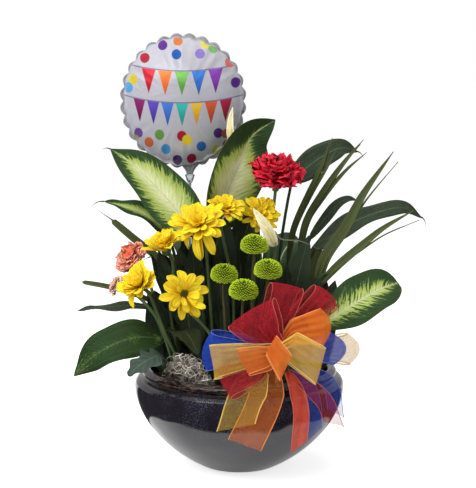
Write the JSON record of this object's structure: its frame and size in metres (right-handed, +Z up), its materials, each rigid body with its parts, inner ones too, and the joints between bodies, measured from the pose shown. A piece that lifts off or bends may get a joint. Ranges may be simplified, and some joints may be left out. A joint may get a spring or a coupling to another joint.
{
  "type": "potted flower and foliage planter with bow and balloon",
  "caption": "Glazed round bowl of soil planted with variegated leaves, daisies, carnations and button flowers, with a ribbon bow and a round foil balloon on a stick.",
  "frame": {"origin": "middle of the bowl's flat base, on the surface that it stands on", "axes": "+Z up, -Y towards the front with the bow, +X to the right seen from the front"},
  "size_m": [0.4325, 0.3564, 0.5395],
  "materials": {
    "bowl_glaze": "gloss",
    "soil": "matte",
    "moss": "matte",
    "variegated_leaf": "satin",
    "dark_leaf": "satin",
    "lobed_leaf": "matte",
    "palm_leaf": "satin",
    "spathe": "satin",
    "daisy_petal": "matte",
    "button_floret": "matte",
    "carnation_red_petal": "matte",
    "carnation_salmon_petal": "matte",
    "carnation_peach_petal": "matte",
    "balloon_foil": "gloss",
    "clear_plastic": "gloss",
    "pick_wood": "matte",
    "ribbon_red": "satin",
    "ribbon_orange": "satin",
    "ribbon_yellow": "satin",
    "ribbon_blue": "satin"
  },
  "bodies": {
    "root": {"bowl": "bowl_glaze", "soil": "soil", "moss": "moss", "dumbcane_leaf_upper_left": "variegated_leaf", "dumbcane_leaf_left_curled": "variegated_leaf", "dumbcane_leaf_centre": "variegated_leaf", "dumbcane_leaf_right": "variegated_leaf", "dumbcane_leaf_lower_left": "dark_leaf", "dumbcane_leaf_low_centre": "dark_leaf", "peace_lily_leaf_behind": "dark_leaf", "peace_lily_leaf_right": "dark_leaf", "peace_lily_leaf_narrow": "dark_leaf", "peace_lily_leaf_left": "dark_leaf", "peace_lily_leaf_middle": "dark_leaf", "peace_lily_leaf_middle_right": "dark_leaf", "peace_lily_leaf_middle_left": "dark_leaf", "dumbcane_leaf_back_left": "variegated_leaf", "dumbcane_leaf_back_right": "variegated_leaf", "peace_lily_leaves_back": "dark_leaf", "chrysanthemum_leaf_low": "lobed_leaf", "palm_blades_left": "palm_leaf", "palm_blades_tall": "palm_leaf", "palm_blades_leaning": "palm_leaf", "palm_blade_broad": "palm_leaf", "palm_blades_back": "palm_leaf", "peace_lily_flower_tall": "spathe", "peace_lily_flower_small": "spathe", "daisy_top_left": "daisy_petal", "daisy_top_right": "daisy_petal", "daisy_side_view": "daisy_petal", "daisy_left_cup": "daisy_petal", "daisy_front": "daisy_petal", "daisy_right": "daisy_petal", "button_flower_top": "button_floret", "button_flower_right": "button_floret", "button_flower_left": "button_floret", "button_flower_low": "button_floret", "carnation_red": "carnation_red_petal", "carnation_salmon": "carnation_salmon_petal", "carnation_peach": "carnation_peach_petal", "balloon": "balloon_foil", "balloon_cup": "clear_plastic", "balloon_stick": "clear_plastic", "bow_pick": "pick_wood", "ribbon_red_upper_left": "ribbon_red", "ribbon_red_top": "ribbon_red", "ribbon_red_right": "ribbon_red", "ribbon_red_lower_left": "ribbon_red", "ribbon_orange_right": "ribbon_orange", "ribbon_orange_centre": "ribbon_orange", "ribbon_orange_left": "ribbon_orange", "ribbon_yellow_front": "ribbon_yellow", "ribbon_yellow_left": "ribbon_yellow", "ribbon_yellow_far_right": "ribbon_yellow", "ribbon_blue_right": "ribbon_blue", "ribbon_blue_left": "ribbon_blue", "ribbon_tail_yellow": "ribbon_yellow", "ribbon_tail_orange": "ribbon_orange", "ribbon_tails_red": "ribbon_red", "ribbon_tails_blue": "ribbon_blue"}
  },
  "joints": []
}
